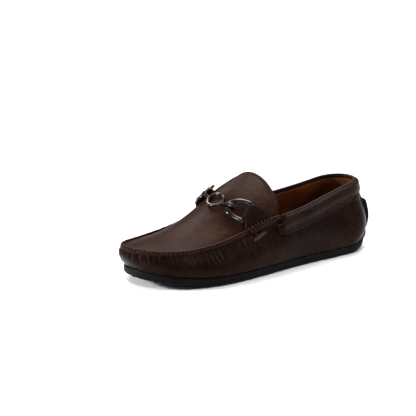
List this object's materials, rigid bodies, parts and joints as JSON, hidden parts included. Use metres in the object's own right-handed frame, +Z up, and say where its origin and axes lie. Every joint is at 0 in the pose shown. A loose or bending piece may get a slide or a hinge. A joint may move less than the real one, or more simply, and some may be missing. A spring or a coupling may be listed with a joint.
{
  "type": "moccasin",
  "caption": "Left driving moccasin with a sewn apron, padded collar, ringed metal link across the instep and a rubber sole.",
  "frame": {"origin": "on the ground, under the middle of the shoe's bounding box", "axes": "+Z up, toe towards -Y and heel towards +Y, outer side of the foot towards +X"},
  "size_m": [0.1026, 0.2854, 0.0868],
  "materials": {
    "brown_leather": "dark brown, soft polish",
    "apron_leather": "dark brown, grained, soft polish",
    "strap_leather": "dark brown",
    "lace_leather": "mid brown, matt",
    "binding_leather": "reddish brown edge",
    "lining_leather": "tan brown, matt",
    "waxed_thread": "waxed",
    "black_rubber": "matt",
    "gunmetal": "dark polished",
    "stiffener_fibre": "matt fibre",
    "fibre_board": "pressed fibre",
    "foam": "open foam"
  },
  "bodies": {
    "shoe": {"vamp": "brown_leather", "collar_band": "brown_leather", "back_tab": "brown_leather", "apron": "apron_leather", "strap_lateral": "strap_leather", "strap_medial": "strap_leather", "side_lacing_lateral": "strap_leather", "side_lacing_medial": "strap_leather", "lace_tab_lateral": "lace_leather", "lace_tab_medial": "lace_leather", "topline_binding": "binding_leather", "tongue_binding": "binding_leather", "quarter_lining": "lining_leather", "vamp_lining": "lining_leather", "apron_lining": "lining_leather", "sock_liner": "lining_leather", "apron_stitching": "waxed_thread", "heel_stitching_lateral": "waxed_thread", "heel_stitching_medial": "waxed_thread", "outsole": "black_rubber", "heel_guard": "black_rubber", "heel_counter": "stiffener_fibre", "toe_puff": "stiffener_fibre", "insole_board": "fibre_board", "footbed_foam": "foam", "collar_foam": "foam"},
    "lateral_ring": {"ring_lateral": "gunmetal"},
    "medial_ring": {"ring_medial": "gunmetal"},
    "link": {"centre_link": "gunmetal"}
  },
  "joints": [
    {"name": "lateral_ring_swing", "type": "hinge", "parent": "shoe", "child": "lateral_ring", "pos_m": [0.03333, -0.03051, 0.06051], "axis": [-0.3413, 0.7473, 0.5701], "range_deg": [0, 3.5]},
    {"name": "medial_ring_swing", "type": "hinge", "parent": "shoe", "child": "medial_ring", "pos_m": [-0.03498, -0.03062, 0.06537], "axis": [-0.2925, -0.6943, -0.6576], "range_deg": [0, 3.5]},
    {"name": "link_swing", "type": "hinge", "parent": "lateral_ring", "child": "link", "pos_m": [0.01871, -0.04156, 0.06623], "axis": [-0.3413, 0.7473, 0.5701], "range_deg": [-1.3, 0]}
  ],
  "couplings": [
    {"joint": "medial_ring_swing", "follows": "lateral_ring_swing", "ratio": 1},
    {"joint": "link_swing", "follows": "lateral_ring_swing", "ratio": -0.37}
  ]
}
